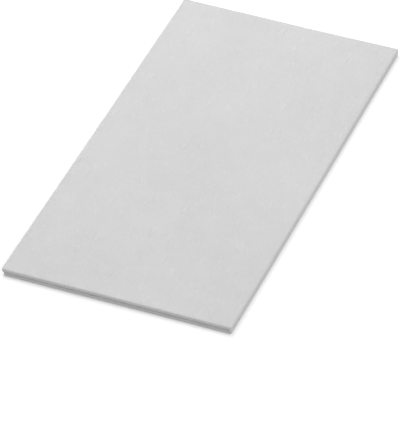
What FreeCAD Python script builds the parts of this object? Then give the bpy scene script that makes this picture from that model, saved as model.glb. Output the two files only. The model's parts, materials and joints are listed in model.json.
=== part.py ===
"""Paper napkin: one square sheet folded three times, which is eight layers.

The sheet is folded in half lengthwise, then in half across, then lengthwise once more.
The last fold is the spine, on +X. The cross-fold is the front short side, on -Y, and
shows as two rounded noses, one for each packet of four layers. The first fold shows on
-X as two creases, which run round the front corner of the upper packet. The lower
packet has its four cut edges below them, and the back short side has all eight.

Millimetres, +Z up. The origin is the middle of the underside. Every bend is drawn about
the place where the folds meet (x = 0 at the spine's bend, y = 0 at the cross-fold's
bend, z = 0 between the packets), and the finished sheet is then set on its origin.
"""

import os

import FreeCAD
import Part
import Sketcher

# Driving sizes
SIZES = {
    "sheet_width": 400.0,       # unfolded, across the two lengthwise folds
    "sheet_length": 400.0,      # unfolded, across the cross-fold
    "paper_thickness": 0.35,    # soft embossed tissue, all plies together
    "layer_gap": 0.095,         # air between two layers
    "spine_nose": 1.0,          # how far the pressed spine reaches past its bend line
    "edge_setback": 0.75,       # how far the lower cut edges lie behind the creases
}

document = FreeCAD.newDocument("paper_napkin")
sheet = document.addObject("Spreadsheet::Sheet", "Sizes")
for row, (alias, value) in enumerate(SIZES.items(), start=1):
    sheet.set(f"A{row}", alias)
    sheet.set(f"B{row}", str(value))
    sheet.setAlias(f"B{row}", alias)
document.recompute()

# Sizes that follow. Layers are counted from the middle of the napkin outwards, and each
# one's middle lies half a pitch, one and a half, two and a half or three and a half from it.
PITCH = "(Sizes.paper_thickness + Sizes.layer_gap)"
HALF_PAPER = "(Sizes.paper_thickness / 2)"
HALF_STACK = f"(3.5 * {PITCH} + {HALF_PAPER})"
PACKET_MIDDLE = f"(2 * {PITCH})"

# A packet's cross-fold is two nested bends, and a crease joins two neighbouring layers.
INNER_BEND = f"(0.5 * {PITCH})"
OUTER_BEND = f"(1.5 * {PITCH})"
CREASE_BEND = f"(0.5 * {PITCH})"
CREASE_PATH = PITCH
CREASE_NOSE = f"({CREASE_BEND} + {HALF_PAPER})"
FRONT_NOSE = f"({OUTER_BEND} + {HALF_PAPER})"

# The spine is half rounds pressed to a flatter nose. SPINE_ARC is the length of such a
# half oval with a half height of one.
SPINE_PRESS = f"(Sizes.spine_nose / {HALF_STACK})"
SPINE_ARC = f"(pi * (3 * (1 + {SPINE_PRESS}) - sqrt((3 + {SPINE_PRESS}) * (1 + 3 * {SPINE_PRESS}))) / 2)"

# Bend allowance. Half the sheet's length runs from the middle of a cross-fold bend to the
# back, so the inner layers reach further back than the outer ones.
INNER_REACH = f"(Sizes.sheet_length / 2 - pi / 2 * {INNER_BEND})"
OUTER_REACH = f"(Sizes.sheet_length / 2 - pi / 2 * {OUTER_BEND})"
FOLDED_LENGTH = f"({FRONT_NOSE} + {INNER_REACH})"

# Half the sheet's width runs from the middle of a crease over the upper packet, round the
# spine at the middle of the packet, and under the lower packet to the cut edge.
FOLDED_WIDTH = (
    f"((Sizes.sheet_width / 2 - pi / 2 * {CREASE_BEND} - {SPINE_ARC} * {PACKET_MIDDLE}"
    f" + 2 * Sizes.spine_nose + {CREASE_NOSE} + Sizes.edge_setback) / 2)"
)
UPPER_SPAN = f"({FOLDED_WIDTH} - Sizes.spine_nose - {CREASE_NOSE})"
LOWER_SPAN = f"({FOLDED_WIDTH} - Sizes.spine_nose - Sizes.edge_setback)"

# Ends of a sketch element, as the sketcher numbers them
START = 1
END = 2
CENTRE = 3
ORIGIN = (-1, START)

QUARTER_TURN = 3.141592653589793 / 2


def measure(expression):
    """The present value of an expression, for a sketch element's first place."""
    return float(sheet.evalExpression(expression))


def add_body(name):
    body = document.addObject("PartDesign::Body", name)
    body.Label = name
    return body


def add_sketch(body, name, plane, across="0", up="0", out="0"):
    """A sketch on one of the body's planes, with its origin moved across, up and out."""
    sketch = body.newObject("Sketcher::SketchObject", name)
    origin_plane = next(item for item in body.Origin.OriginFeatures if item.Role == plane)
    sketch.AttachmentSupport = [(origin_plane, "")]
    sketch.MapMode = "FlatFace"
    sketch.setExpression("AttachmentOffset.Base.x", across)
    sketch.setExpression("AttachmentOffset.Base.y", up)
    sketch.setExpression("AttachmentOffset.Base.z", out)
    return sketch


def bind(sketch, name, expression, *constraint):
    """Add a named dimension to the sketch and tie it to an expression."""
    index = sketch.addConstraint(Sketcher.Constraint(*constraint, measure(expression)))
    sketch.renameConstraint(index, name)
    sketch.setExpression(f"Constraints.{name}", expression)


def draw_half_round(sketch, name, radius):
    """A half circle about the sketch's origin, open towards its right."""
    circle = Part.Circle(FreeCAD.Vector(0, 0, 0), FreeCAD.Vector(0, 0, 1), measure(radius))
    arc = sketch.addGeometry(Part.ArcOfCircle(circle, QUARTER_TURN, 3 * QUARTER_TURN))
    sketch.addConstraint(Sketcher.Constraint("Coincident", arc, CENTRE, *ORIGIN))
    bind(sketch, f"{name}_radius", radius, "Radius", arc)
    return arc


def draw_line(sketch, x_from, y_from, x_to, y_to, direction):
    line = Part.LineSegment(FreeCAD.Vector(x_from, y_from, 0), FreeCAD.Vector(x_to, y_to, 0))
    index = sketch.addGeometry(line)
    sketch.addConstraint(Sketcher.Constraint(direction, index))
    return index


def join(sketch, first, first_end, second, second_end):
    sketch.addConstraint(Sketcher.Constraint("Coincident", first, first_end, second, second_end))


def draw_bent_layer(sketch, name, bend, reach):
    """A layer that comes in from the right, turns back round the origin and leaves again."""
    far = measure(reach)
    outside = f"({bend} + {HALF_PAPER})"
    inside = f"({bend} - {HALF_PAPER})"
    outer_arc = draw_half_round(sketch, f"{name}_outside", outside)
    inner_arc = draw_half_round(sketch, f"{name}_inside", inside)
    for side, arc_end in ((1, START), (-1, END)):
        high = side * measure(outside)
        low = side * measure(inside)
        outer_line = draw_line(sketch, 0, high, far, high, "Horizontal")
        inner_line = draw_line(sketch, 0, low, far, low, "Horizontal")
        cut_edge = draw_line(sketch, far, high, far, low, "Vertical")
        join(sketch, outer_line, START, outer_arc, arc_end)
        join(sketch, inner_line, START, inner_arc, arc_end)
        join(sketch, cut_edge, START, outer_line, END)
        join(sketch, cut_edge, END, inner_line, END)
        for line in (outer_line, inner_line):
            sketch.addConstraint(Sketcher.Constraint("PointOnObject", line, START, -2))
        which = "upper" if side > 0 else "lower"
        bind(sketch, f"{name}_{which}_reach", reach, "DistanceX", *ORIGIN, cut_edge, START)


def draw_packet(sketch):
    """A packet's section across the cross-fold: one bent layer nested in another."""
    draw_bent_layer(sketch, "inner", INNER_BEND, INNER_REACH)
    draw_bent_layer(sketch, "outer", OUTER_BEND, OUTER_REACH)


def pad_along_x(body, name, sketch, length):
    pad = body.newObject("PartDesign::Pad", name)
    pad.Profile = sketch
    pad.setExpression("Length", length)
    return pad


# Upper packet: four layers, bent at the cross-fold, from the creases to the spine
upper_packet = add_body("upper_packet")
upper_section = add_sketch(
    upper_packet, "upper_section", "YZ_Plane", up=PACKET_MIDDLE, out=f"-{UPPER_SPAN}"
)
draw_packet(upper_section)
pad_along_x(upper_packet, "upper_layers", upper_section, UPPER_SPAN)

# Creases: one half ring of paper, which joins the two top layers, turns round the front
# corner with the cross-fold and comes back between the next two
crease_section = add_sketch(
    upper_packet,
    "crease_section",
    "XZ_Plane",
    across=f"-{UPPER_SPAN}",
    up=f"{PACKET_MIDDLE} + {CREASE_PATH}",
    out=f"-{OUTER_REACH}",
)
crease_outside = draw_half_round(crease_section, "outside", f"({CREASE_BEND} + {HALF_PAPER})")
crease_inside = draw_half_round(crease_section, "inside", f"({CREASE_BEND} - {HALF_PAPER})")
for side, arc_end in ((1, START), (-1, END)):
    high = side * measure(f"{CREASE_BEND} + {HALF_PAPER}")
    low = side * measure(f"{CREASE_BEND} - {HALF_PAPER}")
    seam = draw_line(crease_section, 0, high, 0, low, "Vertical")
    join(crease_section, seam, START, crease_outside, arc_end)
    join(crease_section, seam, END, crease_inside, arc_end)
    crease_section.addConstraint(Sketcher.Constraint("PointOnObject", seam, START, -2))

crease_route = add_sketch(
    upper_packet, "crease_route", "YZ_Plane", up=PACKET_MIDDLE, out=f"-{UPPER_SPAN}"
)
route_bend = draw_half_round(crease_route, "route", CREASE_PATH)
for side, arc_end in ((1, START), (-1, END)):
    far = measure(OUTER_REACH)
    high = side * measure(CREASE_PATH)
    leg = draw_line(crease_route, 0, high, far, high, "Horizontal")
    join(crease_route, leg, START, route_bend, arc_end)
    crease_route.addConstraint(Sketcher.Constraint("PointOnObject", leg, START, -2))
    which = "upper" if side > 0 else "lower"
    bind(crease_route, f"{which}_leg", OUTER_REACH, "DistanceX", *ORIGIN, leg, END)

creases = upper_packet.newObject("PartDesign::AdditivePipe", "creases")
creases.Profile = crease_section
creases.Spine = crease_route

# Lower packet: the same four layers, turned under, from their cut edges to the spine
lower_packet = add_body("lower_packet")
lower_section = add_sketch(
    lower_packet, "lower_section", "YZ_Plane", up=f"-{PACKET_MIDDLE}", out=f"-{LOWER_SPAN}"
)
draw_packet(lower_section)
pad_along_x(lower_packet, "lower_layers", lower_section, LOWER_SPAN)

# Spine: the packet's section carried half a turn about the middle of the napkin, then
# pressed to its shallower nose
round_spine = add_body("round_spine")
spine_section = add_sketch(round_spine, "spine_section", "YZ_Plane", up=PACKET_MIDDLE)
draw_packet(spine_section)
spine_turn = round_spine.newObject("PartDesign::Revolution", "spine_turn")
spine_turn.Profile = spine_section
spine_turn.ReferenceAxis = (
    next(item for item in round_spine.Origin.OriginFeatures if item.Role == "Y_Axis"),
    [""],
)
spine_turn.Angle = 180
document.recompute()

spine = document.addObject("Part::Scale", "spine")
spine.Label = "spine"
spine.Base = round_spine
spine.Uniform = False
spine.setExpression("XScale", SPINE_PRESS)

# The folded sheet, set with the middle of its underside on the origin
napkin = document.addObject("Part::MultiFuse", "napkin")
napkin.Label = "napkin"
napkin.Shapes = [upper_packet, lower_packet, spine]
napkin.Refine = True
napkin.setExpression("Placement.Base.x", f"{FOLDED_WIDTH} / 2 - Sizes.spine_nose")
napkin.setExpression("Placement.Base.y", f"{FRONT_NOSE} - {FOLDED_LENGTH} / 2")
napkin.setExpression("Placement.Base.z", HALF_STACK)
document.recompute()

# Nothing is written unless every object is sound
for item in document.Objects:
    if {"Invalid", "Error"} & set(item.State):
        raise RuntimeError(f"{item.Name} failed: {item.State}")

PARTS = [napkin]
for part in PARTS:
    if part.Shape.isNull() or not part.Shape.isValid():
        raise RuntimeError(f"{part.Label} has no valid shape")

os.makedirs("parts", exist_ok=True)
for part in PARTS:
    part.Shape.exportStep(f"parts/{part.Label}.step")
    box = part.Shape.BoundBox
    print(f"{part.Label}: {box.XLength:.3f} x {box.YLength:.3f} x {box.ZLength:.3f} mm,")
    print(f"  lowest corner {box.XMin:.3f}, {box.YMin:.3f}, {box.ZMin:.3f} mm,")
    print(f"  {len(part.Shape.Solids)} solid, {part.Shape.Volume:.1f} cubic mm")
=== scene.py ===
# %% [markdown]
# # A paper napkin, folded three times
#
# The object is one square sheet of soft white paper. It is folded in half lengthwise, in half
# across, and lengthwise once more, so that eight layers lie on each other and still hang
# together. In this lesson the sheet is made flat at its real size and then folded, the way it
# is done on a table. The folded block could be modelled straight away as a slab with grooves
# cut round it, but then its corners would be guesses. When the flat sheet is folded, the
# rounded noses, the nested layers and the corners where two folds meet come out by themselves.
#
# The first cell loads the solid model of the napkin. It is the frame: its box says how wide,
# how long and how thick the finished sheet has to be.

# %% Load the frame
import json
import math

import bpy
import numpy as np
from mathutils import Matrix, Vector


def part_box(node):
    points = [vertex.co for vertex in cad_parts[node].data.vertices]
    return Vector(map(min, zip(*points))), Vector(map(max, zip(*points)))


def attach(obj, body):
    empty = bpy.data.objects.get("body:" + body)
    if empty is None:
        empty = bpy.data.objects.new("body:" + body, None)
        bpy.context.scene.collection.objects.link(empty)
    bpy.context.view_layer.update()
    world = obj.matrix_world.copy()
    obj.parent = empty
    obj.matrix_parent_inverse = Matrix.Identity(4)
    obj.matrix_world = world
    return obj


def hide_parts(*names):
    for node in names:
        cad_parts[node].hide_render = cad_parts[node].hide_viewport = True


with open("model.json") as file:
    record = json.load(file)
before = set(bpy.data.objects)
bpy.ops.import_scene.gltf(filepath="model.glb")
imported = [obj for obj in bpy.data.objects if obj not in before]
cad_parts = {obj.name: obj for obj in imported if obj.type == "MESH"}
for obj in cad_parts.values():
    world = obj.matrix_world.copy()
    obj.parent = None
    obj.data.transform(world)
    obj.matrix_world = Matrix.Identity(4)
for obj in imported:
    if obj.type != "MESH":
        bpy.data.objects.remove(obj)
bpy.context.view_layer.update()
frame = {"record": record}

MM = 0.001
low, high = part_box("napkin")
print("napkin solid, mm:", [round(side / MM, 2) for side in (high - low)])

# %% [markdown]
# ## The sheet's own sizes
#
# The paper is 0.35 mm thick and 400 mm square. Eight layers and seven thin gaps of air make
# the thickness of the solid, so the gap is worked out from the frame. The pitch is the step
# from one layer to the next, and the bends are built from small multiples of it.
#
# A fold needs a line to bend about. Three lines are needed: the crease on the left, the
# cross-fold at the front and the spine on the right. Each lies a little inside the solid's
# box, by as much as its rounded nose sticks out.

# %% Sizes in metres
LAYERS = 8
SHEET_SIDE = 400 * MM
PAPER = 0.35 * MM
SPINE_NOSE = 1.0 * MM
CROSS_FOLD_PRESS = 0.85
EDGE_SETBACK = 0.75 * MM

half_sheet = SHEET_SIDE / 2
gap = ((high[2] - low[2]) - LAYERS * PAPER) / (LAYERS - 1)
pitch = PAPER + gap
middle_height = (low[2] + high[2]) / 2

crease_line = low[0] + (pitch + PAPER) / 2
cross_fold_line = low[1] + CROSS_FOLD_PRESS * (3 * pitch + PAPER) / 2
spine_line = high[0] - SPINE_NOSE

upper_span = spine_line - crease_line
lower_span = spine_line - (low[0] + EDGE_SETBACK)
crease_arc = math.pi * pitch / 2
spine_arc = half_sheet - crease_arc / 2 - upper_span - lower_span
cross_fold_arc = math.pi * 1.5 * pitch
print("pitch, mm:", round(pitch / MM, 3), " paper round the spine, mm:", round(spine_arc / MM, 3))

# %% [markdown]
# ## The flat sheet
#
# A grid is the natural start for anything that is cut from a roll. Its rows decide what can
# be bent. Away from the folds the paper only waves gently, and rows 2.7 mm apart are enough.
# In a fold the paper turns half round within one or two millimetres, so there the rows lie
# about a tenth of a millimetre apart. A plain grid that is as fine all over would need
# millions of faces, so the rows are bunched at the fold lines instead.
#
# The grid is added with as many rows as are wanted, and every row is then pushed to its
# place. Solidify gives the paper its thickness while it is still flat, which is easy and
# exact. Solidify after folding would have to offset bends that are tighter than the paper is
# thick.

# %% Rows that bunch at the folds
OPEN_STEP = 2.7 * MM
CREASE_ROWS = 8
SPINE_ROWS = 16
CROSS_FOLD_ROWS = 18


def rows_between(start, end, step):
    """Evenly spaced places from start up to, but not with, end."""
    count = max(1, round((end - start) / step))
    return [start + (end - start) * i / count for i in range(count)]


def bunched_rows(half_length, bends):
    """Row places from -half_length to half_length. A bend is (middle, width, rows)."""
    places = []
    reached = -half_length
    for bend_middle, width, count in sorted(bends):
        bend_start, bend_end = bend_middle - width / 2, bend_middle + width / 2
        places += rows_between(reached, bend_start, OPEN_STEP)
        places += rows_between(bend_start, bend_end, width / count)
        reached = bend_end
    places += rows_between(reached, half_length, OPEN_STEP)
    return places + [half_length]


spine_middle = crease_arc / 2 + upper_span + spine_arc / 2
columns = bunched_rows(half_sheet, [
    (-spine_middle, spine_arc, SPINE_ROWS),
    (0, crease_arc, CREASE_ROWS),
    (spine_middle, spine_arc, SPINE_ROWS),
])
rows = bunched_rows(half_sheet, [(0, cross_fold_arc, CROSS_FOLD_ROWS)])
print("flat grid:", len(columns), "by", len(rows), "places")

# %% The flat sheet with its thickness
bpy.ops.object.select_all(action="DESELECT")
bpy.ops.mesh.primitive_grid_add(
    x_subdivisions=len(columns) - 1, y_subdivisions=len(rows) - 1, size=SHEET_SIDE
)
napkin = bpy.context.object
napkin.name = napkin.data.name = "folded_napkin"


def read_points(mesh):
    points = np.empty(len(mesh.vertices) * 3)
    mesh.vertices.foreach_get("co", points)
    return points.reshape(-1, 3)


def write_points(mesh, points):
    mesh.vertices.foreach_set("co", points.ravel())
    mesh.update()


def pushed_to(places, along):
    """Moves evenly spaced coordinates to the places of their rows."""
    index = np.rint((along + half_sheet) / SHEET_SIDE * (len(places) - 1)).astype(int)
    return np.array(places)[index]


flat = read_points(napkin.data)
flat[:, 0] = pushed_to(columns, flat[:, 0])
flat[:, 1] = pushed_to(rows, flat[:, 1])
write_points(napkin.data, flat)

thicken = napkin.modifiers.new("paper thickness", "SOLIDIFY")
thicken.thickness = PAPER
thicken.offset = 0
thicken.use_rim = True
bpy.ops.object.modifier_apply(modifier=thicken.name)
print("flat sheet:", len(napkin.data.vertices), "points,", len(napkin.data.polygons), "faces")

# %% [markdown]
# ## Maps of the flat sheet
#
# Once the sheet is folded, nothing tells the finish which way the paper lies. So the flat
# place of every point is kept now as a UV map, in metres. The fibres and the cloudy look of
# the paper then run on through a fold instead of being cut off there.
#
# A second map keeps how deep in the paper a point is, from 0 on one face to 1 on the other.
# On the two faces it never changes. Across a cut edge it runs from one to the other, which is
# how the finish can later draw the plies there and nowhere else.

# %% Keep the flat places
sheet_map = napkin.data.uv_layers.active
sheet_map.name = "flat_sheet"
corner_points = np.empty(len(napkin.data.loops), dtype=int)
napkin.data.loops.foreach_get("vertex_index", corner_points)
flat = read_points(napkin.data)
sheet_map.data.foreach_set("uv", flat[corner_points, :2].ravel())

depth_map = napkin.data.uv_layers.new(name="depth_in_paper")
depth = flat[corner_points, 2] / PAPER + 0.5
depth_map.data.foreach_set("uv", np.column_stack((depth, depth)).ravel())
print("maps:", [kept_map.name for kept_map in napkin.data.uv_layers])

# %% [markdown]
# ## Small faults of a real sheet
#
# A napkin that is cut and folded by a machine is neat but not perfect. The knife wanders by a
# tenth or two of a millimetre, the layers slide on each other by some tenths towards the
# corner where nothing holds them, and they don't lie equally close everywhere. Each fault
# could be drawn by hand, point by point. Here one helper gives them all: a sum of a few soft
# waves with lengths and directions drawn from a fixed seed, so that the same napkin comes out
# every time.
#
# The knife and the slide both move the cut outline, so they are put into the flat sheet here.
# The rest waits until it is folded.

# %% Soft waves
SEED = 40
WAVE_SUM = 1.6

draw = np.random.RandomState(SEED)


def soft_waves(shortest, longest, count=9):
    """A smooth random function of x and y, between about -1 and 1. A shift moves its waves."""
    lengths = draw.uniform(shortest, longest, count)
    turns = draw.uniform(0, 2 * math.pi, count)
    starts = draw.uniform(0, 2 * math.pi, count)
    strengths = lengths / lengths.sum() * WAVE_SUM

    def wave(x, y, shift=0.0):
        total = np.zeros_like(x)
        for length, turn, start, strength in zip(lengths, turns, starts, strengths):
            along = x * math.cos(turn) + y * math.sin(turn)
            total += strength * np.sin(2 * math.pi * along / length + start + shift)
        return total

    return wave


def ease(value, start, end):
    """Rises smoothly from 0 at start to 1 at end."""
    part = np.clip((value - start) / (end - start), 0, 1)
    return part * part * (3 - 2 * part)


# %% The cut outline
KNIFE_WANDER = 0.16 * MM
CORNER_SLIDE = 0.60 * MM
EDGE_REACH = 40 * MM

side_wander = soft_waves(shortest=40 * MM, longest=160 * MM)
back_wander = soft_waves(shortest=40 * MM, longest=160 * MM)
side_slide = soft_waves(shortest=300 * MM, longest=700 * MM, count=3)
back_slide = soft_waves(shortest=300 * MM, longest=700 * MM, count=3)


def cut_by_knife(points):
    """Moves the outline of the flat sheet by tenths of a millimetre."""
    x, y = points[:, 0].copy(), points[:, 1].copy()
    near_side = ease(np.abs(x), half_sheet - EDGE_REACH, half_sheet)
    near_back = ease(np.abs(y), half_sheet - EDGE_REACH, half_sheet)
    side_slack, back_slack = np.abs(y) / half_sheet, np.abs(x) / half_sheet
    side_move = KNIFE_WANDER * side_wander(x, y) + CORNER_SLIDE * side_slack * side_slide(x, y)
    back_move = KNIFE_WANDER * back_wander(x, y) + CORNER_SLIDE * back_slack * back_slide(x, y)
    points[:, 0] += near_side * side_move
    points[:, 1] += near_back * back_move


cut_by_knife(flat)
print("cut sheet, mm:", [round(side / MM, 2) for side in (flat.max(axis=0) - flat.min(axis=0))])

# %% [markdown]
# ## Folding
#
# A fold is the same move each time. Everything before the bend stays, everything past it is
# laid back upside down, and between the two the paper runs round a nose. The bend is turned
# about a line at height zero, with the layers above it. A layer that is further from the line
# takes a wider way round, which is how the layers come to lie inside each other.
#
# Blender's Simple Deform could bend a sheet, but it bends one layer about its own middle, and
# here up to four layers turn together. A cloth simulation would find folds like these too,
# but with a random slackness that a machine-folded napkin does not have. So the move is
# written out. It works on two sets of points together: the paper's middle, which says how
# far along a point is, and the points of its two faces, which are carried round with it.
#
# A face point is measured from the middle in both directions, upwards and along the paper.
# In an earlier fold the paper stands on edge, and there its thickness lies along the next
# fold's direction. Without that second measure the next fold would squeeze it flat.

# %% Noses
def round_nose(part):
    """A half circle of radius 1, from the top to the underside."""
    return np.sin(math.pi * part), np.cos(math.pi * part)


def pressed_length(depth, corner_height):
    """The way round a pressed nose, for a layer at height 1."""
    return math.pi / 2 * (depth + corner_height) + 2 * (1 - corner_height)


def pressed_nose(depth, corner_height):
    """A nose that was pressed: two rounded corners with a flat face between them."""
    face = 2 * (1 - corner_height)
    corner = (pressed_length(depth, corner_height) - face) / 2

    def nose(part):
        way = part * pressed_length(depth, corner_height)
        turn = np.clip(way / corner, 0, 1) + np.clip((way - corner - face) / corner, 0, 1)
        down = np.clip(way - corner, 0, face)
        out = depth * np.sin(math.pi / 2 * turn)
        upper = np.maximum(np.cos(math.pi / 2 * turn), 0)
        lower = np.minimum(np.cos(math.pi / 2 * turn), 0)
        return out, (1 - corner_height) - down + corner_height * (upper + lower)

    return nose


# %% One fold
def fold(faces, middle, axis, facing, arc_start, arc_length, nose):
    """Turns all that lies past arc_start back under the rest, round a nose."""
    before = middle[:, axis].copy()
    past = facing * before - arc_start
    out, up = nose(np.clip(past / arc_length, 0, 1))
    along = np.minimum(past, 0) - np.maximum(past - arc_length, 0)
    for points in (faces, middle):
        height = points[:, 2].copy()
        aside = facing * (points[:, axis] - before)
        points[:, axis] = facing * (along + up * aside + out * height)
        points[:, 2] = up * height - out * aside


# %% [markdown]
# ## The three folds
#
# Before each fold the paper is lifted until its lowest layer is half a pitch above the bend
# line, so that the gap inside the new fold is as wide as all the others. In the first two
# folds each layer takes as much paper as its own way round needs, half of it from each side
# of the fold line. A layer on the outside of the cross-fold needs more than one on the inside,
# which is why the cut edges at the back end in steps.
#
# The crease is a plain half round, and the cross-fold is pressed a little flatter. The spine
# is pressed most of all. Its four layers share one length of arc, because the cross-fold
# holds them together at one end.

# %% Fold the sheet
CROSS_FOLD_CORNER = 0.60
SPINE_CORNER = 0.40
X_AXIS, Y_AXIS = 0, 1

middle = flat.copy()
middle[:, 2] = 0
faces = flat.copy()


def lift(height):
    faces[:, 2] += height
    middle[:, 2] += height


lift(pitch / 2)
fold(
    faces, middle, X_AXIS, facing=-1,
    arc_start=-crease_arc / 2, arc_length=crease_arc, nose=round_nose,
)

lift(pitch)
arc = pressed_length(CROSS_FOLD_PRESS, CROSS_FOLD_CORNER) * middle[:, 2]
fold(
    faces, middle, Y_AXIS, facing=-1,
    arc_start=-arc / 2, arc_length=arc, nose=pressed_nose(CROSS_FOLD_PRESS, CROSS_FOLD_CORNER),
)

lift(2 * pitch)
spine_press = SPINE_NOSE / (LAYERS * pitch / 2)
fold(
    faces, middle, X_AXIS, facing=1,
    arc_start=upper_span, arc_length=spine_arc, nose=pressed_nose(spine_press, SPINE_CORNER),
)

faces += np.array((spine_line, cross_fold_line, middle_height))
print("folded, mm:", [round(side / MM, 2) for side in (faces.max(axis=0) - faces.min(axis=0))])

# %% [markdown]
# ## Softness
#
# The folded sheet is now as exact as a steel plate, and paper is not. A few small moves soften
# it:
#
# - the folded layers swell and thin by a few hundredths, which makes the broad, faint light
#   and shade on the top;
# - the two folded sides stand a touch thicker than the middle, because a fold springs back;
# - towards the loose corner at the back left the layers open a little, and ruffle;
# - the two front corners, where folds meet, are rounded;
# - the folds wander in and out along their length, and the whole lies a hair off square.
#
# The layers must not cut through each other. So every move up is measured by the height of a
# layer's middle, and both faces of the paper take the same move. The paper keeps its thickness
# and only the air between the layers grows or shrinks. The lowest layer stays flat on the
# table.

# %% How far each point is from the sides
x, y = faces[:, 0].copy(), faces[:, 1].copy()
layer_height = middle[:, 2] - middle[:, 2].min()
level = layer_height / pitch
to_spine = np.clip(high[0] - x, 0, None)
to_front = np.clip(y - low[1], 0, None)
to_left = np.clip(x - low[0], 0, None)
to_back = np.clip(high[1] - y, 0, None)
print("highest level, counted in pitches:", round(float(level.max()), 2))

# %% Swelling, springing and opening
SWELL = 0.05
LAYER_SHIFT = 0.30
FOLD_SPRING = 0.018
SPINE_SPRING_REACH = 5 * MM
FRONT_SPRING_REACH = 4 * MM
SPRING_START = 2 * MM
OPEN_CORNER = 0.15
OPEN_REACH = 45 * MM
OPEN_SIDE_WEIGHT = 0.6
RUFFLE = 0.02
RUFFLE_SHIFT = 1.0

swell = soft_waves(shortest=18 * MM, longest=110 * MM, count=20)
ruffle = soft_waves(shortest=11 * MM, longest=30 * MM, count=14)

spring = np.exp(-to_spine / SPINE_SPRING_REACH) + np.exp(-to_front / FRONT_SPRING_REACH)
spring_start = ease(np.minimum(to_spine, to_front), 0, SPRING_START)
opening = np.exp(-np.hypot(OPEN_SIDE_WEIGHT * to_left, to_back) / OPEN_REACH)
faces[:, 2] += layer_height * (
    SWELL * swell(x, y, LAYER_SHIFT * level)
    + RUFFLE * opening * ruffle(x, y, RUFFLE_SHIFT * level)
    + FOLD_SPRING * spring * spring_start
    + OPEN_CORNER * opening
)
print("top, mm:", round(float(faces[:, 2].max()) / MM, 2))

# %% Rounded corners and wandering folds
LEFT_CORNER_ROUND = 1.0 * MM
RIGHT_CORNER_ROUND = 0.45 * MM
CORNER_REACH = 3 * MM
FOLD_WANDER = 0.10 * MM
OFF_SQUARE = 0.002

side_line = soft_waves(shortest=45 * MM, longest=180 * MM)
front_line = soft_waves(shortest=45 * MM, longest=180 * MM)


def drawn_in(radius, to_side):
    """How far a front corner of that radius is drawn in from its side."""
    into_corner = radius - np.clip(to_front, 0, radius)
    inset = radius - np.sqrt(radius ** 2 - into_corner ** 2)
    return inset * np.exp(-to_side / CORNER_REACH)


faces[:, 0] += drawn_in(LEFT_CORNER_ROUND, to_left) - drawn_in(RIGHT_CORNER_ROUND, to_spine)
faces[:, 0] += FOLD_WANDER * side_line(np.zeros_like(x), y) - OFF_SQUARE * y
faces[:, 1] += FOLD_WANDER * front_line(x, np.zeros_like(y))
write_points(napkin.data, faces)
print("softened, mm:", [round(side / MM, 2) for side in (faces.max(axis=0) - faces.min(axis=0))])

# %% [markdown]
# ## Faces and shading
#
# The folding turned whole layers upside down, so Blender is asked to turn every face outwards
# again. The sheet is one closed shell, which makes that safe. Shading could be smooth all
# over, but then the cut edges would look melted. Smoothing by angle leaves an edge of more
# than fifty degrees sharp and smooths the noses.

# %% Faces outwards, noses smooth
SHARP_FROM = math.radians(50)

bpy.ops.object.select_all(action="DESELECT")
napkin.select_set(True)
bpy.context.view_layer.objects.active = napkin
bpy.ops.object.mode_set(mode="EDIT")
bpy.ops.mesh.select_all(action="SELECT")
bpy.ops.mesh.normals_make_consistent(inside=False)
bpy.ops.mesh.select_all(action="DESELECT")
bpy.ops.object.mode_set(mode="OBJECT")
bpy.ops.object.shade_smooth_by_angle(angle=SHARP_FROM)
print("triangles:", 2 * len(napkin.data.polygons))

# %% [markdown]
# ## The paper's finish
#
# Napkin paper is matte, soft and almost without colour. What tells it from card or plastic is
# small, so the finish is built up from several faint layers:
#
# - a cloudy unevenness, where the fibres settled thicker or thinner;
# - fibres that lie every way, which show a little in the tone and more in the relief;
# - short paler flecks, where a few fibres lie at the surface;
# - now and then a thicker bundle of fibres, a hair raised, so that it has a light side and a
#   shaded one, and with a painted highlight that makes the whole bundle a little paler;
# - fine wrinkles across every fold, where the inner side of the paper is squeezed;
# - the lines between the plies, on the cut edges only.
#
# A scan of real paper could be laid on instead, but one that is fine enough would have to be
# repeated over the sheet, and that shows. Noise doesn't repeat, and one helper gives it at any
# size, drawn out to a stroke and turned. All of it is drawn on the maps of the flat sheet.

# %% A matte paper
paper = bpy.data.materials.new("napkin paper")
paper.use_nodes = True
nodes, links = paper.node_tree.nodes, paper.node_tree.links
shader = nodes["Principled BSDF"]
shader.inputs["Roughness"].default_value = 0.95
shader.inputs["Specular IOR Level"].default_value = 0.25
shader.inputs["Sheen Weight"].default_value = 0.08
shader.inputs["Sheen Roughness"].default_value = 0.6
print("paper roughness:", round(shader.inputs["Roughness"].default_value, 2))


# %% Helpers for its layers
def add_node(kind, **settings):
    node = nodes.new(kind)
    for name, value in settings.items():
        setattr(node, name, value)
    return node


def axes_of_map(map_name):
    """The X and Y of one of the two maps."""
    place = add_node("ShaderNodeUVMap", uv_map=map_name)
    axes = add_node("ShaderNodeSeparateXYZ")
    links.new(place.outputs["UV"], axes.inputs["Vector"])
    return axes.outputs


def noise_on_sheet(per_metre, across=1.0, along=1.0, turn=0.0, detail=2.0):
    """Noise in features per metre of the flat sheet, drawn out across or along it and turned."""
    place = add_node("ShaderNodeUVMap", uv_map="flat_sheet")
    mapping = add_node("ShaderNodeMapping", vector_type="TEXTURE")
    mapping.inputs["Rotation"].default_value = (0, 0, turn)
    mapping.inputs["Scale"].default_value = (across, along, 1)
    noise = add_node("ShaderNodeTexNoise", noise_dimensions="3D")
    noise.inputs["Scale"].default_value = per_metre
    noise.inputs["Detail"].default_value = detail
    links.new(place.outputs["UV"], mapping.inputs["Vector"])
    links.new(mapping.outputs["Vector"], noise.inputs["Vector"])
    return noise.outputs["Fac"]


def math_node(operation, *values):
    """A Math node on one or two values, each a number or another node's output."""
    node = add_node("ShaderNodeMath", operation=operation)
    for socket, value in zip(node.inputs, values):
        if isinstance(value, (int, float)):
            socket.default_value = value
        else:
            links.new(value, socket)
    return node.outputs["Value"]


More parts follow.
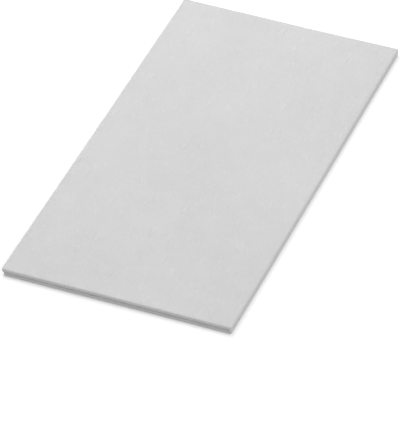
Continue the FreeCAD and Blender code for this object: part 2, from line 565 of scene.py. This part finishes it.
def spread(value, start, end, low_result, high_result, interpolation="LINEAR"):
    """Maps a value from start..end to the two results, and no further."""
    node = add_node("ShaderNodeMapRange", interpolation_type=interpolation)
    node.inputs["From Min"].default_value = start
    node.inputs["From Max"].default_value = end
    node.inputs["To Min"].default_value = low_result
    node.inputs["To Max"].default_value = high_result
    links.new(value, node.inputs["Value"])
    return node.outputs["Result"]


# %% [markdown]
# ## The tone of the paper
#
# The tone is the record's grey, changed by a few parts in a hundred. A stronger pattern would
# look like stone or cloth. Noise lies mostly between 0.25 and 0.75, so that range is spread to
# the full depth of the clouds. Flecks and bundles are rarer: a high threshold leaves only the
# peaks of their noise. Four noises, each drawn out to threads and turned another way, are
# added up to fibres that lie every way.

# %% Clouds, flecks, bundles and fibres
PAPER_GREY = frame["record"]["materials"][0]["base_color"][0]
NOISE_LOW, NOISE_HIGH = 0.25, 0.75
BROAD_DEPTH = 0.014
CLOUD_DEPTH = 0.010
FLECK_LIGHT = 0.030
FLECK_START, FLECK_FULL = 0.62, 0.72
# How much paler the bundles are painted: a painted highlight for the light their raised side
# catches.
BUNDLE_PAINTED_HIGHLIGHT = 0.02
BUNDLE_START, BUNDLE_FULL = 0.64, 0.76
FIBRE_DEPTH = 0.014
FIBRE_TURNS = (-1.1, -0.35, 0.3, 0.95)
FIBRES_LOW, FIBRES_HIGH = 1.6, 2.4

broad = noise_on_sheet(per_metre=24, along=1.5, detail=1)
broad = spread(broad, NOISE_LOW, NOISE_HIGH, -BROAD_DEPTH, BROAD_DEPTH)
clouds = noise_on_sheet(per_metre=110, detail=3)
clouds = spread(clouds, NOISE_LOW, NOISE_HIGH, -CLOUD_DEPTH, CLOUD_DEPTH)
flecks = noise_on_sheet(per_metre=620, along=4.5, turn=0.12)
flecks = spread(flecks, FLECK_START, FLECK_FULL, 0.0, FLECK_LIGHT)
bundles = noise_on_sheet(per_metre=300, along=3, detail=1)
bundles = spread(bundles, BUNDLE_START, BUNDLE_FULL, 0.0, 1.0)
fibres = 0.0
for turn in FIBRE_TURNS:
    fibres = math_node("ADD", noise_on_sheet(per_metre=2300, along=7, turn=turn), fibres)
fibre_tone = spread(fibres, FIBRES_LOW, FIBRES_HIGH, -FIBRE_DEPTH, FIBRE_DEPTH)

tone = math_node("ADD", math_node("ADD", broad, clouds), math_node("ADD", flecks, PAPER_GREY))
tone = math_node("ADD", tone, fibre_tone)
# Painted highlight: the bundles' tone is lifted to stand in for the light on their raised side.
tone = math_node("ADD", tone, math_node("MULTIPLY", bundles, BUNDLE_PAINTED_HIGHLIGHT))
print("paper grey:", round(PAPER_GREY, 3))

# %% [markdown]
# ## Plies on the cut edges
#
# Napkin paper is several plies pressed together, and a cut edge shows them as faint lines. The
# plies could be modelled one by one, but the lines are only a tenth of a millimetre apart. The
# second map already tells how deep in the paper a point of a cut edge is. A sine over it is
# zero at each border between two plies, and there the tone is taken down. It is zero on the
# paper's two faces as well, so the lines only start a little way in from them.

# %% Lines between the plies
PLIES = 3
PLY_DARK = 0.22
LINE_END = 0.7
EDGE_START, EDGE_FULL = 0.08, 0.20

depth_in_paper = axes_of_map("depth_in_paper")["X"]
from_face = math_node("PINGPONG", depth_in_paper, 0.5)
inside_paper = spread(from_face, EDGE_START, EDGE_FULL, 0.0, PLY_DARK)
wave = math_node("SINE", math_node("MULTIPLY", depth_in_paper, PLIES * math.pi))
between_plies = spread(math_node("ABSOLUTE", wave), 0.0, LINE_END, 1.0, 0.0)
tone = math_node("SUBTRACT", tone, math_node("MULTIPLY", between_plies, inside_paper))

grey = add_node("ShaderNodeCombineColor")
for channel in ("Red", "Green", "Blue"):
    links.new(tone, grey.inputs[channel])
links.new(grey.outputs["Color"], shader.inputs["Base Color"])
print("plies drawn on the cut edges:", PLIES)

# %% [markdown]
# ## Relief
#
# Fibres, bundles and wrinkles are bump. A mesh that is fine enough to hold them would need
# millions of faces, and they change no outline. The wrinkles run across each fold and fade
# out a few millimetres from it. How far a point is from a fold is read from its flat place:
# the cross-fold lies on the middle of the sheet's Y, the first fold on the middle of its X,
# and the spine at the same distance on both sides of that.

# %% Fibres, bundles and wrinkles
RELIEF = 0.09 * MM
CRUMPLE_RISE = 2.0
BUNDLE_RISE = 2.2
WRINKLE_RISE = 4.0
WRINKLE_FULL, WRINKLE_END = 1.0 * MM, 4.0 * MM

relief = math_node("MULTIPLY", noise_on_sheet(per_metre=420, along=3), CRUMPLE_RISE)
relief = math_node("ADD", relief, fibres)
relief = math_node("ADD", relief, math_node("MULTIPLY", bundles, BUNDLE_RISE))

flat_place = axes_of_map("flat_sheet")
along_cross_fold = noise_on_sheet(per_metre=900, along=5)
along_sides = noise_on_sheet(per_metre=900, across=5)
for axis, fold_place, wrinkles in (
    ("Y", 0.0, along_cross_fold), ("X", 0.0, along_sides), ("X", spine_middle, along_sides)
):
    from_middle = math_node("ABSOLUTE", flat_place[axis])
    from_fold = math_node("ABSOLUTE", math_node("SUBTRACT", from_middle, fold_place))
    near_fold = spread(from_fold, WRINKLE_FULL, WRINKLE_END, WRINKLE_RISE, 0.0)
    relief = math_node("ADD", relief, math_node("MULTIPLY", near_fold, wrinkles))

bump = add_node("ShaderNodeBump")
bump.inputs["Strength"].default_value = 1.0
bump.inputs["Distance"].default_value = RELIEF
links.new(relief, bump.inputs["Height"])
links.new(bump.outputs["Normal"], shader.inputs["Normal"])
napkin.data.materials.clear()
napkin.data.materials.append(paper)
print("nodes in the paper:", len(nodes))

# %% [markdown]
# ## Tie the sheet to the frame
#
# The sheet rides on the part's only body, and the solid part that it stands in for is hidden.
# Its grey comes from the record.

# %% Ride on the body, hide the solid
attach(napkin, "root")
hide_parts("napkin")

# %% [markdown]
# ## Floor
#
# The napkin lies on a pale floor that runs on to white. The floor is a matte surface that
# takes the shadow. For the camera only, a little light of its own is added, so that it shows
# white where no shadow falls, and far from the napkin it is white altogether. More light on
# the whole scene would whiten the floor too, but it would burn out the paper.

# %% Floor
FLOOR_SIDE = 12
FLOOR_DROP = 0.02 * MM
FLOOR_GREY = 0.8
FLOOR_LIFT = 0.30
NEAR_FLOOR = 0.25
FAR_FLOOR = 0.60

bpy.ops.object.select_all(action="DESELECT")
bpy.ops.mesh.primitive_plane_add(size=FLOOR_SIDE, location=(0, 0, low[2] - FLOOR_DROP))
floor = bpy.context.object
floor.name = "studio_floor"

floor_finish = bpy.data.materials.new("pale floor")
floor_finish.use_nodes = True
nodes, links = floor_finish.node_tree.nodes, floor_finish.node_tree.links
nodes.clear()
matte = add_node("ShaderNodeBsdfDiffuse")
matte.inputs["Color"].default_value = (FLOOR_GREY, FLOOR_GREY, FLOOR_GREY, 1)
seen = add_node("ShaderNodeLightPath").outputs["Is Camera Ray"]
glow = add_node("ShaderNodeEmission")
links.new(math_node("MULTIPLY", seen, FLOOR_LIFT), glow.inputs["Strength"])
lifted = add_node("ShaderNodeAddShader")
links.new(matte.outputs["BSDF"], lifted.inputs[0])
links.new(glow.outputs["Emission"], lifted.inputs[1])

white = add_node("ShaderNodeEmission")
place = add_node("ShaderNodeTexCoord")
distance = add_node("ShaderNodeVectorMath", operation="LENGTH")
links.new(place.outputs["Object"], distance.inputs[0])
fade = spread(distance.outputs["Value"], NEAR_FLOOR, FAR_FLOOR, 0.0, 1.0, "SMOOTHSTEP")
blend = add_node("ShaderNodeMixShader")
links.new(math_node("MULTIPLY", fade, seen), blend.inputs["Fac"])
links.new(lifted.outputs["Shader"], blend.inputs[1])
links.new(white.outputs["Emission"], blend.inputs[2])
floor_output = add_node("ShaderNodeOutputMaterial")
links.new(blend.outputs["Shader"], floor_output.inputs["Surface"])
floor.data.materials.append(floor_finish)
print("floor, m:", FLOOR_SIDE, " white from, m:", FAR_FLOOR)

# %% [markdown]
# ## Light
#
# The light is soft and plain. The surroundings give half of it, and that half reaches every
# side. A small lamp near the back left corner gives the top its slow fall of brightness
# towards the front right. A wide one high above it adds to the top, and one on the right
# brings out the spine. No lamp faces the front side, so it is the darkest. One sun would be
# simpler than three lamps, but its light is even and couldn't fall off over the top.
#
# Each lamp is given as a share of full light on the top, and its power is worked out from its
# distance and slope. The shares and the surroundings add up to about one, so the paper shows
# about as light as its material says.

# %% Surroundings
AMBIENT = 0.50

world = bpy.data.worlds.new("studio")
bpy.context.scene.world = world
world.use_nodes = True
nodes, links = world.node_tree.nodes, world.node_tree.links
nodes.clear()
seen = add_node("ShaderNodeLightPath").outputs["Is Camera Ray"]
surroundings = add_node("ShaderNodeBackground")
surroundings.inputs["Color"].default_value = (1, 1, 1, 1)
links.new(spread(seen, 0.0, 1.0, AMBIENT, 1.0), surroundings.inputs["Strength"])
world_output = add_node("ShaderNodeOutputWorld")
links.new(surroundings.outputs["Background"], world_output.inputs["Surface"])


# %% Lamps
def add_soft_lamp(name, place, size, share):
    """A square lamp aimed at the napkin, which gives its top that share of full light."""
    bpy.ops.object.select_all(action="DESELECT")
    bpy.ops.object.light_add(type="AREA", location=place)
    lamp = bpy.context.object
    lamp.name = lamp.data.name = name
    lamp.data.shape = "SQUARE"
    lamp.data.size = size
    away = Vector(place)
    slope = away.normalized().z
    lamp.data.energy = share * math.pi ** 2 * away.length_squared / slope
    lamp.rotation_mode = "QUATERNION"
    lamp.rotation_quaternion = away.to_track_quat("Z", "Y")
    print(name, "gives", share, "of full light at", round(lamp.data.energy, 2), "W")


add_soft_lamp("back_left_lamp", place=(-0.28, 0.28, 0.42), size=0.3, share=0.145)
add_soft_lamp("high_lamp", place=(-0.40, 0.40, 1.50), size=0.8, share=0.275)
add_soft_lamp("right_lamp", place=(1.20, 0.10, 1.30), size=0.8, share=0.13)

# %% [markdown]
# ## Camera
#
# The camera looks down at the front short side and the right long side from far away through
# a long lens, so parallel edges stay nearly parallel. A common lens from nearer by would
# narrow the back end more than the photograph does. The camera's place was worked out from
# the corners of the folded shape in the photograph.

# %% Camera
CAMERA_PLACE = (0.47946, -1.21107, 1.02582)
CAMERA_AIM = (0.01414, -0.04337, 0.00337)
CAMERA_LENS = 317.4
FILM_WIDTH = 36

camera_data = bpy.data.cameras.new("photo_camera")
camera_data.lens = CAMERA_LENS
camera_data.sensor_width = FILM_WIDTH
camera_data.clip_start = 0.05
camera_data.clip_end = 30
camera = bpy.data.objects.new("photo_camera", camera_data)
bpy.context.scene.collection.objects.link(camera)
camera.location = CAMERA_PLACE
look = Vector(CAMERA_AIM) - Vector(CAMERA_PLACE)
camera.rotation_mode = "QUATERNION"
camera.rotation_quaternion = look.to_track_quat("-Z", "Y")
bpy.context.scene.camera = camera
bpy.context.scene.view_settings.view_transform = "Standard"
print("camera to napkin, m:", round(look.length, 3))
